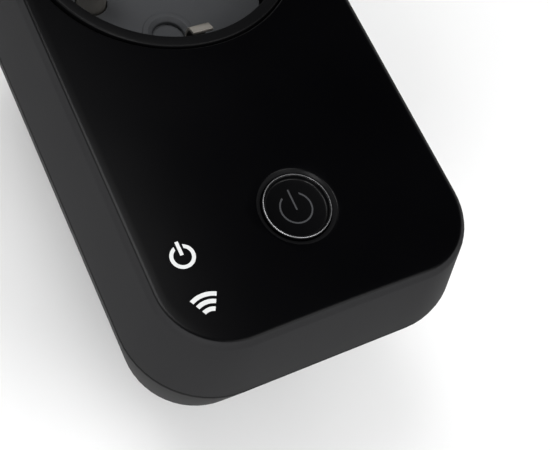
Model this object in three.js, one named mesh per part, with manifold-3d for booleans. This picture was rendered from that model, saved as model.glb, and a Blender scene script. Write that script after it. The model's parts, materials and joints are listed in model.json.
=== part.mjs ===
// Smart plug for a wall outlet, built as the pieces that it comes apart into on a bench.
//
// Millimetres. +Z points out of the front face, +Y runs along the body from the button end to the
// socket end, and +X is to the right for someone who faces the socket. The origin is the centre of
// the plug boss's end face, on the axis that the plug and the socket share.

import * as THREE from 'three';
import { mergeVertices } from 'three/addons/utils/BufferGeometryUtils.js';
import Module from 'manifold-3d';

const wasm = await Module();
wasm.setup();

// ---------------------------------------------------------------- driving dimensions

const GAP = 0.3; // clearance between neighbouring pieces

// Housing. Every outline is the same core rectangle, grown by a radius.
const CORE_HALF_WIDTH = 14;
const CORE_LOW_Y = -56.05;
const CORE_HIGH_Y = 16;
const FACE_RADIUS = 11;
const SEAM_RADIUS = 13.9;
const BACK_RADIUS = 11.1;
const BACK_Z = 17;
const SEAM_Z = 31;
const FACE_Z = 45.2;
const CROWN_DROP = 0.8; // the face falls this far from its centre line to its long edges
const WALL = 2;
const LIP_HEIGHT = 1.5;
const LIP_WALL = 1;

// Socket
const RECESS_RADIUS = 19.75;
const RECESS_DEPTH = 15;
const COLLAR_RADIUS = 21.6;
const COLLAR_FLANGE_RADIUS = 22.9;
const LEDGE_RADIUS = 17.9; // the ledge inside the collar that carries the floor
const LEDGE_THICKNESS = 0.9;
const FLOOR_THICKNESS = 2.2;
const FLOOR_WEB = 0.9; // what is left of the floor above the shutter's pocket
const PIN_SPREAD = 9.5; // from the axis to each live pin
const PIN_RADIUS = 2.4;
const PIN_HOLE_RADIUS = 2.75;
const HOLE_MOUTH_RADIUS = 3.5;
const HOLE_BOSS_RADIUS = 4.4;
const HOLE_BOSS_HEIGHT = 0.25;
const EARTH_X = -10;
const EARTH_PIN_LENGTH = 14;

// Earth tongues in the recess wall
const TONGUE_WIDTH = 3.4;
const TONGUE_THICKNESS = 0.5;
const TONGUE_FOOT_RADIUS = 18.7;

// Shutter rotor under the socket floor
const ROTOR_THICKNESS = 1.6;
const ROTOR_PAD_RADIUS = 3.4;
const ROTOR_HUB_RADIUS = 4;
const ROTOR_PIVOT_RADIUS = 1.5;

// Plug on the back
const BOSS_RADIUS = 18.2;
const BOSS_BORE = 15.4;
const BOSS_END = 3;
const PLUG_PIN_LENGTH = 19;
const SIDE_NOTCH_X = 16.6;
const SIDE_NOTCH_WIDTH = 7;

// Button
const BUTTON_Y = -50.7;
const BUTTON_RADIUS = 5.1;
const BUTTON_TOP = 45.3;
const BUTTON_LIP_WIDTH = 0.38;
const BUTTON_SUNK = 0.75; // from the lip down to the foot of its inner slope
const BUTTON_DISH = 0.15;
const BUTTON_FLANGE_RADIUS = 6.3;
const SURROUND_RADIUS = 6;
const SURROUND_DEPTH = 0.45;
const STEM_RADIUS = 1.6;

// Indicator light guides
const POWER_LIGHT = [-18.6, -52.4];
const WIFI_LIGHT = [-18.3, -60.2];
const GUIDE_RADIUS = 2.4;

// Boards
const MAIN_BOARD_Z = 24;
const MAIN_BOARD_THICKNESS = 1.6;
const MAIN_BOARD_RADIUS = 9.9;
const CONTROL_BOARD_Z = 34.2;
const CONTROL_BOARD_THICKNESS = 1;

// Screws that close the housing, from the back
const SCREWS = [[-20.8, -40.5], [20.8, -40.5], [-18.5, 20.5], [18.5, 20.5]];
const SCREW_RADIUS = 1.3;
const SCREW_HEAD_RADIUS = 2.5;
const SCREW_HEAD_Z = 19;
const SCREW_TIP_Z = 38;
const POST_RADIUS = 3.1;

// Blank plate on the back
const PLATE = { y: -45, halfWidth: 13, halfHeight: 8, thickness: 0.4 };

// Rings and discs: how many straight sides stand for a round
const ROUND_LARGE = 56;
const ROUND_SMALL = 24;

// Worked out from the above
const floorTop = FACE_Z - RECESS_DEPTH;
const floorBottom = floorTop - FLOOR_THICKNESS;
const webBottom = floorTop - FLOOR_WEB;
const rotorTop = webBottom - GAP;
const rotorBottom = rotorTop - ROTOR_THICKNESS;
const shellInnerTop = FACE_Z - CROWN_DROP - WALL + GAP;
const mainBoardTop = MAIN_BOARD_Z + MAIN_BOARD_THICKNESS;
const controlBoardTop = CONTROL_BOARD_Z + CONTROL_BOARD_THICKNESS;
const flangeBottom = BACK_Z + WALL + GAP;
const flangeTop = flangeBottom + 1.7;
const ringBottom = flangeTop + GAP;
const ringTop = ringBottom + 0.8;
const busBottom = ringTop + 0.5;
const busTop = busBottom + 0.6;

// ---------------------------------------------------------------- solids

// A closed three.js geometry as a solid that can be joined and cut.
function solid(geometry) {
  geometry.deleteAttribute('normal');
  geometry.deleteAttribute('uv');
  const merged = mergeVertices(geometry, 1e-4);
  return new wasm.Manifold(new wasm.Mesh({
    numProp: 3,
    vertProperties: new Float32Array(merged.attributes.position.array),
    triVerts: new Uint32Array(merged.index.array),
  }));
}

// A solid as a three.js geometry again.
function toGeometry(body) {
  const mesh = body.getMesh();
  const geometry = new THREE.BufferGeometry();
  geometry.setAttribute('position', new THREE.BufferAttribute(mesh.vertProperties, 3));
  geometry.setIndex(new THREE.BufferAttribute(mesh.triVerts, 1));
  geometry.computeVertexNormals();
  return geometry;
}

function union(bodies) {
  return bodies.reduce((sum, body) => sum.add(body));
}

function block(low, high) {
  const size = high.map((value, axis) => value - low[axis]);
  const geometry = new THREE.BoxGeometry(...size);
  geometry.translate(...low.map((value, axis) => value + size[axis] / 2));
  return solid(geometry);
}

// A round bar along Z, or a cone where the two radii differ.
function bar(x, y, radius, low, high, sides = ROUND_SMALL, topRadius = radius) {
  const geometry = new THREE.CylinderGeometry(topRadius, radius, high - low, sides);
  geometry.rotateX(Math.PI / 2);
  geometry.translate(x, y, (low + high) / 2);
  return solid(geometry);
}

// A turned solid about a line along Z, from a closed profile of [radius, height] points.
function turned(x, y, profile, sides = ROUND_SMALL) {
  const points = profile.map(([radius, height]) => new THREE.Vector2(radius, height));
  const geometry = new THREE.LatheGeometry(points, sides);
  geometry.rotateX(Math.PI / 2);
  geometry.translate(x, y, 0);
  return solid(geometry);
}

// A flat outline, given as [x, y] points, made into a plate between two heights.
function plate(points, low, high) {
  const shape = new THREE.Shape(points.map(([x, y]) => new THREE.Vector2(x, y)));
  const geometry = new THREE.ExtrudeGeometry(shape, { depth: high - low, bevelEnabled: false });
  geometry.translate(0, 0, low);
  return solid(geometry);
}

// The housing's outline: the core rectangle grown by 1, to be scaled out by grow().
function coreOutline() {
  const shape = new THREE.Shape();
  const corners = [
    [CORE_HALF_WIDTH, CORE_LOW_Y, -Math.PI / 2],
    [CORE_HALF_WIDTH, CORE_HIGH_Y, 0],
    [-CORE_HALF_WIDTH, CORE_HIGH_Y, Math.PI / 2],
    [-CORE_HALF_WIDTH, CORE_LOW_Y, Math.PI],
  ];
  for (const [x, y, start] of corners) {
    shape.absarc(x, y, 1, start, start + Math.PI / 2);
  }
  return shape;
}

// A housing body whose outline runs from one radius at its bottom to another at its top.
function housingBody(lowRadius, low, highRadius, high) {
  const options = { depth: high - low, bevelEnabled: false, curveSegments: 10 };
  const geometry = new THREE.ExtrudeGeometry(coreOutline(), options);
  const position = geometry.attributes.position;
  for (let i = 0; i < position.count; i += 1) {
    const x = position.getX(i);
    const y = position.getY(i);
    const z = position.getZ(i);
    const coreX = THREE.MathUtils.clamp(x, -CORE_HALF_WIDTH, CORE_HALF_WIDTH);
    const coreY = THREE.MathUtils.clamp(y, CORE_LOW_Y, CORE_HIGH_Y);
    const radius = z > 0 ? highRadius : lowRadius;
    position.setXYZ(i, coreX + (x - coreX) * radius, coreY + (y - coreY) * radius, z + low);
  }
  return solid(geometry);
}

// Everything under the crowned face: a long bar along Y with a shallow arc for its top.
function underCrown() {
  const halfWidth = 40;
  const edge = CORE_HALF_WIDTH + FACE_RADIUS;
  const radius = (edge * edge + CROWN_DROP * CROWN_DROP) / (2 * CROWN_DROP);
  const angle = Math.asin(halfWidth / radius);
  const shape = new THREE.Shape();
  shape.moveTo(-halfWidth, 0);
  shape.lineTo(halfWidth, 0);
  shape.absarc(0, FACE_Z - radius, radius, Math.PI / 2 - angle, Math.PI / 2 + angle);
  const options = { depth: 200, bevelEnabled: false, curveSegments: 18 };
  const geometry = new THREE.ExtrudeGeometry(shape, options);
  geometry.rotateX(Math.PI / 2);
  geometry.translate(0, 100, 0);
  return solid(geometry);
}

// A wire wound into a coil about a line along Z.
function coil(x, y, radius, wireRadius, low, high, turns) {
  class Helix extends THREE.Curve {
    getPoint(t, target = new THREE.Vector3()) {
      const angle = 2 * Math.PI * turns * t;
      return target.set(
        x + radius * Math.cos(angle),
        y + radius * Math.sin(angle),
        low + wireRadius + (high - low - 2 * wireRadius) * t,
      );
    }
  }
  const section = new THREE.Shape();
  section.absarc(0, 0, wireRadius, 0, 2 * Math.PI);
  const options = { extrudePath: new Helix(), steps: 14 * turns, curveSegments: 6 };
  return solid(new THREE.ExtrudeGeometry(section, options));
}

// A sleeve with one slit, which grips a round pin.
function splitSleeve(x, y, inner, outer, low, high, slitAngle) {
  const slit = 0.28;
  const shape = new THREE.Shape();
  shape.absarc(0, 0, outer, slitAngle + slit, slitAngle + 2 * Math.PI - slit);
  shape.absarc(0, 0, inner, slitAngle + 2 * Math.PI - slit, slitAngle + slit, true);
  const options = { depth: high - low, bevelEnabled: false, curveSegments: 20 };
  const geometry = new THREE.ExtrudeGeometry(shape, options);
  geometry.translate(x, y, low);
  return solid(geometry);
}

// ---------------------------------------------------------------- the assembly

const smartPlug = new THREE.Group();

const finishes = {
  shellBlack: { color: 0x16171a, roughness: 0.5, metalness: 0 },
  floorGrey: { color: 0x4a4b4d, roughness: 0.4, metalness: 0 },
  buttonBlack: { color: 0x101114, roughness: 0.25, metalness: 0 },
  innerWhite: { color: 0xd8d6cf, roughness: 0.6, metalness: 0 },
  nickel: { color: 0xc8c6c0, roughness: 0.25, metalness: 1 },
  brass: { color: 0xc2a15a, roughness: 0.3, metalness: 1 },
  steel: { color: 0xa9abae, roughness: 0.35, metalness: 1 },
  boardGreen: { color: 0x1f5a36, roughness: 0.5, metalness: 0 },
  relayBlue: { color: 0x2b5fa8, roughness: 0.4, metalness: 0 },
  clear: { color: 0xf2f4f4, roughness: 0.2, metalness: 0 },
  plateGrey: { color: 0x8a8c90, roughness: 0.5, metalness: 0 },
};

function addPiece(name, body, finish) {
  const material = new THREE.MeshStandardMaterial({ ...finishes[finish], flatShading: true });
  const mesh = new THREE.Mesh(toGeometry(body), material);
  mesh.name = name;
  smartPlug.add(mesh);
}

// Front shell: the crowned face and its flared sides, open at the back. It holds the socket
// collar and the button, and has the four screw posts.
function frontShell() {
  const outside = housingBody(SEAM_RADIUS, SEAM_Z, FACE_RADIUS, FACE_Z + GAP);
  const inside = housingBody(SEAM_RADIUS - WALL, SEAM_Z - 1, FACE_RADIUS - WALL, shellInnerTop);
  const surroundLow = FACE_Z - SURROUND_DEPTH;
  const buttonWell = BUTTON_RADIUS + GAP;
  let shell = outside.intersect(underCrown()).subtract(inside);
  const posts = SCREWS.map(([x, y]) => bar(x, y, POST_RADIUS, SEAM_Z - 1, shellInnerTop + 1));
  shell = union([shell, ...posts]);
  shell = shell.subtract(bar(0, 0, COLLAR_RADIUS + GAP, 0, 60, ROUND_LARGE));
  shell = shell.subtract(bar(0, BUTTON_Y, buttonWell, 30, 60, 40));
  const dish = [
    [0, surroundLow], [buttonWell, surroundLow], [SURROUND_RADIUS, FACE_Z],
    [SURROUND_RADIUS, FACE_Z + 1], [0, FACE_Z + 1],
  ];
  shell = shell.subtract(turned(0, BUTTON_Y, dish, 40));
  for (const [x, y] of SCREWS) {
    shell = shell.subtract(bar(x, y, SCREW_RADIUS + GAP, 0, SCREW_TIP_Z + 0.5, 16));
  }
  return shell;
}

// Back cover: a shallow tray with a lip inside the seam, an opening for the plug boss, four
// screw sleeves and a shallow recess for the plate.
function backCover() {
  const top = SEAM_Z - GAP;
  const inset = (radius) => radius - WALL;
  const outside = housingBody(BACK_RADIUS, BACK_Z, SEAM_RADIUS, top);
  const inside = housingBody(inset(BACK_RADIUS), BACK_Z + WALL, inset(SEAM_RADIUS), top + 0.01);
  const lipOuter = inset(SEAM_RADIUS) - GAP;
  const lip = housingBody(lipOuter, top - 2, lipOuter - 0.3, top + LIP_HEIGHT);
  const lipVoid = housingBody(lipOuter - LIP_WALL, top - 3, lipOuter - LIP_WALL - 0.3, top + 4);
  const lipSkirt = housingBody(inset(SEAM_RADIUS) + 0.5, top - 2, inset(SEAM_RADIUS) + 0.5, top);
  let cover = outside.subtract(inside);
  cover = cover.add(lip.add(lipSkirt.intersect(outside)).subtract(lipVoid));
  const headBottom = SCREW_HEAD_Z + 2;
  for (const [x, y] of SCREWS) {
    cover = cover.subtract(bar(x, y, POST_RADIUS + GAP, SEAM_Z - 2, 40));
    cover = cover.add(bar(x, y, POST_RADIUS + GAP, BACK_Z + 0.5, SEAM_Z - 1 - GAP));
  }
  for (const [x, y] of SCREWS) {
    cover = cover.subtract(bar(x, y, SCREW_RADIUS + GAP, 0, 40, 16));
    cover = cover.subtract(bar(x, y, SCREW_HEAD_RADIUS + GAP, 0, headBottom + GAP, 20));
  }
  cover = cover.subtract(bar(0, 0, BOSS_RADIUS + GAP, 0, 25, ROUND_LARGE));
  const { y, halfWidth, halfHeight, thickness } = PLATE;
  const recess = block(
    [-halfWidth - GAP, y - halfHeight - GAP, 0],
    [halfWidth + GAP, y + halfHeight + GAP, BACK_Z + thickness + 2 * GAP],
  );
  return cover.subtract(recess);
}

// Rating plate: blank, stuck in its recess on the back.
function ratingPlate() {
  const { y, halfWidth, halfHeight, thickness } = PLATE;
  return block(
    [-halfWidth, y - halfHeight, BACK_Z + GAP],
    [halfWidth, y + halfHeight, BACK_Z + GAP + thickness],
  );
}

// Plug boss: the round cup that enters the wall outlet, with a flange held inside the back
// cover, holes for the two pins and the outlet's earth pin, and a notch on each side.
function plugBoss() {
  const profile = [
    [0, 0], [BOSS_RADIUS - 0.8, 0], [BOSS_RADIUS, 0.8], [BOSS_RADIUS, flangeBottom],
    [BOSS_RADIUS + 2.8, flangeBottom], [BOSS_RADIUS + 2.8, flangeTop], [BOSS_BORE, flangeTop],
    [BOSS_BORE, BOSS_END], [0, BOSS_END],
  ];
  let boss = turned(0, 0, profile, ROUND_LARGE);
  for (const side of [-1, 1]) {
    boss = boss.subtract(bar(0, side * PIN_SPREAD, PIN_RADIUS + GAP, -1, 10));
    const near = Math.min(side * SIDE_NOTCH_X, side * 30);
    const far = Math.max(side * SIDE_NOTCH_X, side * 30);
    boss = boss.subtract(block(
      [near, -SIDE_NOTCH_WIDTH / 2, -1],
      [far, SIDE_NOTCH_WIDTH / 2, 30],
    ));
  }
  return boss.subtract(bar(EARTH_X, 0, 3.7, -1, 10));
}

// Plug pin: a round-nosed pin with a collar that locks it inside the boss.
function plugPin(y) {
  const nose = 1.4;
  const profile = [
    [0, -PLUG_PIN_LENGTH], [PIN_RADIUS - nose, -PLUG_PIN_LENGTH],
    [PIN_RADIUS - 0.41, -PLUG_PIN_LENGTH + 0.41], [PIN_RADIUS, -PLUG_PIN_LENGTH + nose],
    [PIN_RADIUS, BOSS_END + GAP], [3.6, BOSS_END + GAP], [3.6, BOSS_END + 1.8],
    [1.8, BOSS_END + 1.8], [1.8, BOSS_END + 4.5], [0, BOSS_END + 4.5],
  ];
  return turned(0, y, profile);
}

// Side earth clip of the plug: a bowed strip in the boss's notch.
function plugEarthClip(side) {
  const inner = SIDE_NOTCH_X + GAP;
  const outline = [
    [inner, 1], [inner + 0.8, 1], [inner + 1.3, 5], [inner + 1.3, 11], [inner + 0.8, 15],
    [inner + 0.8, flangeTop], [inner, flangeTop], [inner, 15], [inner + 0.5, 11],
    [inner + 0.5, 5],
  ];
  const shape = new THREE.Shape(outline.map(([x, z]) => new THREE.Vector2(x, z)));
  const width = SIDE_NOTCH_WIDTH - 2;
  const geometry = new THREE.ExtrudeGeometry(shape, { depth: width, bevelEnabled: false });
  geometry.rotateX(Math.PI / 2);
  geometry.translate(0, width / 2, 0);
  if (side < 0) {
    geometry.rotateZ(Math.PI);
  }
  return solid(geometry);
}

// Earth ring: a flat ring that joins the earth pin, both tongues and both side clips.
function earthRing() {
  const inner = BOSS_BORE + 0.1;
  const outer = 19.8;
  const profile = [[inner, ringBottom], [outer, ringBottom], [outer, ringTop], [inner, ringTop]];
  return turned(0, 0, [...profile, profile[0]], 48);
}

// Contact carrier: the insulating block in the boss that holds both live contacts and the foot
// of the earth pin.
function contactCarrier() {
  const low = BOSS_END + 6.3;
  let carrier = bar(0, 0, BOSS_BORE - GAP, low, ringTop, 48);
  for (const side of [-1, 1]) {
    carrier = carrier.subtract(bar(0, side * PIN_SPREAD, 4, low + 1.2, 40));
  }
  return carrier.subtract(bar(EARTH_X, 0, PIN_RADIUS + GAP, 0, 40));
}

// The two slots beside the recess wall that let the earth tongues through.
function tongueSlots(high) {
  return [-1, 1].map((side) => {
    const near = side * (TONGUE_FOOT_RADIUS - 1.5);
    const far = side * (TONGUE_FOOT_RADIUS + 0.8);
    return block(
      [-TONGUE_WIDTH / 2 - GAP, Math.min(near, far), 20],
      [TONGUE_WIDTH / 2 + GAP, Math.max(near, far), high],
    );
  });
}

// Socket collar: the round wall of the recess, with the rim that shows in the face, a flange
// that stops under the face, and a ledge inside that carries the socket floor.
function socketCollar() {
  const flangeLow = 41.1;
  const flangeHigh = 42;
  const ledgeTop = floorBottom - GAP;
  const ledgeLow = ledgeTop - LEDGE_THICKNESS;
  const profile = [
    [LEDGE_RADIUS, ledgeLow], [COLLAR_RADIUS, ledgeLow], [COLLAR_RADIUS, flangeLow],
    [COLLAR_FLANGE_RADIUS, flangeLow], [COLLAR_FLANGE_RADIUS, flangeHigh],
    [COLLAR_RADIUS, flangeHigh], [COLLAR_RADIUS, FACE_Z - 0.4], [COLLAR_RADIUS - 0.4, FACE_Z],
    [RECESS_RADIUS + 0.2, FACE_Z], [RECESS_RADIUS, FACE_Z - 0.2], [RECESS_RADIUS, ledgeTop],
    [LEDGE_RADIUS, ledgeTop],
  ];
  const collar = turned(0, 0, [...profile, profile[0]], ROUND_LARGE);
  return tongueSlots(ledgeTop + 0.1).reduce((body, slot) => body.subtract(slot), collar);
}

// Socket floor: the disc that a plug comes to rest on. Two ringed holes and the earth pin's hole
// go through it. The shutter turns in a pocket underneath, on a pivot that hangs in its middle.
function socketFloor() {
  const pocketRadius = PIN_SPREAD + ROTOR_PAD_RADIUS + GAP;
  const bossTop = floorTop + HOLE_BOSS_HEIGHT;
  const mouthLow = bossTop - 0.6;
  const mouth = [
    [0, mouthLow], [PIN_HOLE_RADIUS, mouthLow], [HOLE_MOUTH_RADIUS, bossTop],
    [HOLE_MOUTH_RADIUS, bossTop + 1], [0, bossTop + 1],
  ];
  let disc = bar(0, 0, RECESS_RADIUS - GAP, floorBottom, floorTop, ROUND_LARGE);
  disc = disc.subtract(bar(0, 0, pocketRadius, floorBottom - 1, webBottom, ROUND_LARGE));
  disc = disc.add(bar(0, 0, ROTOR_PIVOT_RADIUS, busTop + GAP, floorTop - 0.2, 16));
  for (const side of [-1, 1]) {
    const y = side * PIN_SPREAD;
    disc = disc.add(bar(0, y, HOLE_BOSS_RADIUS, floorTop - 0.2, bossTop, 32));
    disc = disc.subtract(bar(0, y, PIN_HOLE_RADIUS, 25, 40, 32));
    disc = disc.subtract(turned(0, y, mouth, 32));
  }
  disc = disc.subtract(bar(EARTH_X, 0, PIN_RADIUS + GAP, 20, 40));
  return tongueSlots(40).reduce((body, slot) => body.subtract(slot), disc);
}

// Earth pin: stands in the recess with a round nose, and has its foot in the carrier.
function earthPin() {
  const top = floorTop + EARTH_PIN_LENGTH;
  const profile = [[0, 16.5], [PIN_RADIUS, 16.5]];
  const noseSteps = 6;
  for (let i = 0; i <= noseSteps; i += 1) {
    const angle = (Math.PI / 2) * (i / noseSteps);
    profile.push([PIN_RADIUS * Math.cos(angle), top - PIN_RADIUS * (1 - Math.sin(angle))]);
  }
  profile[profile.length - 1][0] = 0;
  return turned(EARTH_X, 0, profile, 32);
}

// Earth tongue: a springy strip that stands in the recess beside the wall, leans in, and turns
// its lip back towards the wall. Its foot stands on the earth ring.
function earthTongue(side) {
  const half = TONGUE_THICKNESS / 2;
  const middle = [
    [TONGUE_FOOT_RADIUS, ringTop + GAP], [TONGUE_FOOT_RADIUS, floorTop + 0.5],
    [16.7, floorTop + 7], [16.2, floorTop + 10.5], [16.6, floorTop + 12], [18.3, floorTop + 13],
  ];
  const inner = [];
  const outer = [];
  middle.forEach(([radius, height], index) => {
    const before = middle[Math.max(index - 1, 0)];
    const after = middle[Math.min(index + 1, middle.length - 1)];
    const run = new THREE.Vector2(after[0] - before[0], after[1] - before[1]).normalize();
    inner.push([radius - run.y * half, height + run.x * half]);
    outer.push([radius + run.y * half, height - run.x * half]);
  });
  const outline = [...inner, ...outer.reverse()];
  const shape = new THREE.Shape(outline.map(([radius, z]) => new THREE.Vector2(radius, z)));
  const options = { depth: TONGUE_WIDTH, bevelEnabled: false };
  const geometry = new THREE.ExtrudeGeometry(shape, options);
  geometry.rotateX(Math.PI / 2);
  geometry.translate(0, TONGUE_WIDTH / 2, 0);
  geometry.rotateZ((side * Math.PI) / 2);
  return solid(geometry);
}

// Shutter rotor: a hub with two arms, whose pads close the pin holes until a plug turns it.
function shutterRotor() {
  const pads = [];
  for (const side of [-1, 1]) {
    pads.push(bar(0, side * PIN_SPREAD, ROTOR_PAD_RADIUS, rotorBottom, rotorTop));
  }
  const arm = block([-2.2, -PIN_SPREAD, rotorBottom], [2.2, PIN_SPREAD, rotorTop]);
  const hub = bar(0, 0, ROTOR_HUB_RADIUS, busTop + 2 * GAP, rotorTop);
  const bore = bar(0, 0, ROTOR_PIVOT_RADIUS + GAP, 0, 60, 20);
  return union([arm, hub, ...pads]).subtract(bore);
}

// Button cap: a sunk, slightly dished disc inside a thin raised lip, with a flange that keeps it
// under the face and a stem that works the switch.
function buttonCap() {
  const flangeTopZ = 42;
  const flangeLowZ = 41.2;
  const stemLow = 40;
  const lipInner = BUTTON_RADIUS - BUTTON_LIP_WIDTH;
  const profile = [
    [0, stemLow], [STEM_RADIUS, stemLow], [STEM_RADIUS, flangeLowZ],
    [BUTTON_FLANGE_RADIUS, flangeLowZ], [BUTTON_FLANGE_RADIUS, flangeTopZ],
    [BUTTON_RADIUS, flangeTopZ], [BUTTON_RADIUS, BUTTON_TOP - 0.15],
    [BUTTON_RADIUS - 0.15, BUTTON_TOP], [lipInner, BUTTON_TOP],
    [lipInner - 0.27, BUTTON_TOP - BUTTON_SUNK], [0, BUTTON_TOP - BUTTON_SUNK - BUTTON_DISH],
  ];
  return turned(0, BUTTON_Y, profile, 40);
}

// Push switch: a square body with a round well, and the plunger that travels in it.
function switchBody() {
  const low = controlBoardTop + GAP;
  const body = block([-3, BUTTON_Y - 3, low], [3, BUTTON_Y + 3, 38.9]);
  return body.subtract(bar(0, BUTTON_Y, 1.75 + GAP, 37.1, 60));
}

function switchPlunger() {
  return bar(0, BUTTON_Y, 1.75, 38, 39.7);
}

function lightGuide([x, y]) {
  const low = controlBoardTop + 2.4;
  const neck = bar(x, y, 1.5, low, low + 2);
  return neck.add(bar(x, y, GUIDE_RADIUS, low + 1.5, shellInnerTop - GAP));
}

function led([x, y]) {
  const low = controlBoardTop + GAP;
  const base = block([x - 1.6, y - 1.2, low], [x + 1.6, y + 1.2, low + 1]);
  return base.add(bar(x, y, 1, low + 0.5, low + 1.7, 16));
}

// Main board: fills the button end between the screw posts and carries the power parts.
function mainBoard() {
  const blank = housingBody(MAIN_BOARD_RADIUS, MAIN_BOARD_Z, MAIN_BOARD_RADIUS, mainBoardTop);
  let board = blank.intersect(block([-21.5, -70, 0], [21.5, -23, 60]));
  for (const [x, y] of SCREWS.slice(0, 2)) {
    board = board.subtract(bar(x, y, POST_RADIUS + 0.8, 0, 60));
  }
  return board;
}

// Control board: the small upper board under the button and the indicators.
function controlBoard() {
  return block([-22, -62, CONTROL_BOARD_Z], [13, -44.4, controlBoardTop]);
}

function relay() {
  const low = mainBoardTop + GAP;
  const can = block([-1.5, -38.5, low], [17.5, -23.4, low + 14]);
  return can.add(block([-1, -38, low + 13.5], [17, -23.9, low + 14.6]));
}

function capacitor() {
  const low = mainBoardTop + GAP;
  const profile = [
    [0, low], [4, low], [4, low + 1.4], [3.7, low + 1.8], [4, low + 2.2], [4, low + 12],
    [3.5, low + 12.4], [0, low + 12.4],
  ];
  return turned(-14, -30.5, profile);
}

function transformer() {
  const low = mainBoardTop + GAP;
  const core = block([5, -60, low], [17, -48, low + 2.2]);
  const bobbin = bar(11, -54, 4.6, low + 2, low + 5.6);
  return union([core, bobbin, block([5, -60, low + 5.4], [17, -48, low + 7.4])]);
}

function fuse() {
  const low = mainBoardTop + GAP;
  const geometry = new THREE.CylinderGeometry(2, 2, 9, 20);
  geometry.translate(-14, -58, low + 2);
  return solid(geometry);
}

function varistor() {
  const low = mainBoardTop + GAP;
  const geometry = new THREE.CylinderGeometry(3.6, 3.6, 2.8, 24);
  geometry.rotateZ(Math.PI / 2);
  geometry.translate(-19.5, -48.5, low + 3.7);
  return solid(geometry);
}

function wifiModule() {
  const low = controlBoardTop + GAP;
  const board = block([4.4, -61.5, low], [12.6, -44.8, low + 0.8]);
  return board.add(block([5, -56.5, low + 0.5], [12, -45.3, low + 2.6]));
}

function boardLink() {
  return block([-10, -47.5, mainBoardTop + GAP], [-2, -45, CONTROL_BOARD_Z - GAP]);
}

// Bus bars: flat strips from the two contacts to the edge of the main board.
function lowerBus() {
  return block([2.9, -24.6, busBottom], [5.9, -PIN_SPREAD + 1.5, busTop]);
}

function upperBus() {
  const points = [
    [2.9, PIN_SPREAD - 1.5], [8, PIN_SPREAD - 1.5], [8, -24.6], [11, -24.6],
    [11, PIN_SPREAD + 1.5], [2.9, PIN_SPREAD + 1.5],
  ];
  return plate(points, busBottom, busTop);
}

// Housing screw: a pan head in the back cover's sleeve, and a shank up into the post.
function housingScrew([x, y]) {
  const headTop = SCREW_HEAD_Z + 2;
  const profile = [
    [0, SCREW_HEAD_Z + 0.8], [0.9, SCREW_HEAD_Z + 0.8], [0.9, SCREW_HEAD_Z],
    [SCREW_HEAD_RADIUS - 0.4, SCREW_HEAD_Z], [SCREW_HEAD_RADIUS, SCREW_HEAD_Z + 0.5],
    [SCREW_HEAD_RADIUS, headTop], [SCREW_RADIUS, headTop], [SCREW_RADIUS, SCREW_TIP_Z - 1],
    [0.3, SCREW_TIP_Z], [0, SCREW_TIP_Z],
  ];
  return turned(x, y, profile, 16);
}

addPiece('front_shell', frontShell(), 'shellBlack');
addPiece('back_cover', backCover(), 'shellBlack');
addPiece('rating_plate', ratingPlate(), 'plateGrey');
addPiece('plug_boss', plugBoss(), 'shellBlack');
addPiece('plug_pin_lower', plugPin(-PIN_SPREAD), 'nickel');
addPiece('plug_pin_upper', plugPin(PIN_SPREAD), 'nickel');
addPiece('plug_earth_clip_left', plugEarthClip(-1), 'nickel');
addPiece('plug_earth_clip_right', plugEarthClip(1), 'nickel');
addPiece('plug_earth_sleeve', splitSleeve(EARTH_X, 0, 2.55, 3.35, 0.8, 8.8, Math.PI), 'brass');
addPiece('contact_carrier', contactCarrier(), 'innerWhite');
addPiece('earth_ring', earthRing(), 'brass');

addPiece('socket_collar', socketCollar(), 'shellBlack');
addPiece('socket_floor', socketFloor(), 'floorGrey');
addPiece('earth_pin', earthPin(), 'nickel');
addPiece('earth_tongue_lower', earthTongue(-1), 'nickel');
addPiece('earth_tongue_upper', earthTongue(1), 'nickel');
addPiece('shutter_rotor', shutterRotor(), 'floorGrey');
addPiece('shutter_spring', coil(0, 0, 4.9, 0.3, busTop + GAP, rotorBottom - GAP, 3), 'steel');
for (const [name, side] of [['lower', -1], ['upper', 1]]) {
  const sleeve = splitSleeve(0, side * PIN_SPREAD, 2.5, 3.6, 10.8, ringTop - 0.1, 0);
  addPiece(`contact_sleeve_${name}`, sleeve, 'brass');
}
addPiece('bus_bar_lower', lowerBus(), 'brass');
addPiece('bus_bar_upper', upperBus(), 'brass');

addPiece('button_cap', buttonCap(), 'buttonBlack');
addPiece('button_spring', coil(0, BUTTON_Y, 2.55, 0.2, 39.15, 41, 2), 'steel');
addPiece('switch_body', switchBody(), 'steel');
addPiece('switch_plunger', switchPlunger(), 'innerWhite');
addPiece('power_light_guide', lightGuide(POWER_LIGHT), 'clear');
addPiece('wifi_light_guide', lightGuide(WIFI_LIGHT), 'clear');
addPiece('power_led', led(POWER_LIGHT), 'clear');
addPiece('wifi_led', led(WIFI_LIGHT), 'clear');

addPiece('main_board', mainBoard(), 'boardGreen');
addPiece('control_board', controlBoard(), 'boardGreen');
addPiece('board_link', boardLink(), 'innerWhite');
addPiece('wifi_module', wifiModule(), 'steel');
addPiece('relay', relay(), 'relayBlue');
addPiece('capacitor', capacitor(), 'floorGrey');
addPiece('transformer', transformer(), 'innerWhite');
addPiece('fuse', fuse(), 'clear');
addPiece('varistor', varistor(), 'relayBlue');
SCREWS.forEach((place, index) => {
  addPiece(`housing_screw_${index + 1}`, housingScrew(place), 'steel');
});

export default smartPlug;
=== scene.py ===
# %% [markdown]
# # A smart plug, piece by piece
#
# The plug is a black two-part housing with a round socket in its face, a push button and two
# small windows, and a round plug behind. The frame holds every piece at its real size. Here the
# pieces that show are modelled again with their real edges and fillets, and every piece gets
# the finish that its maker gives it.

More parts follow.
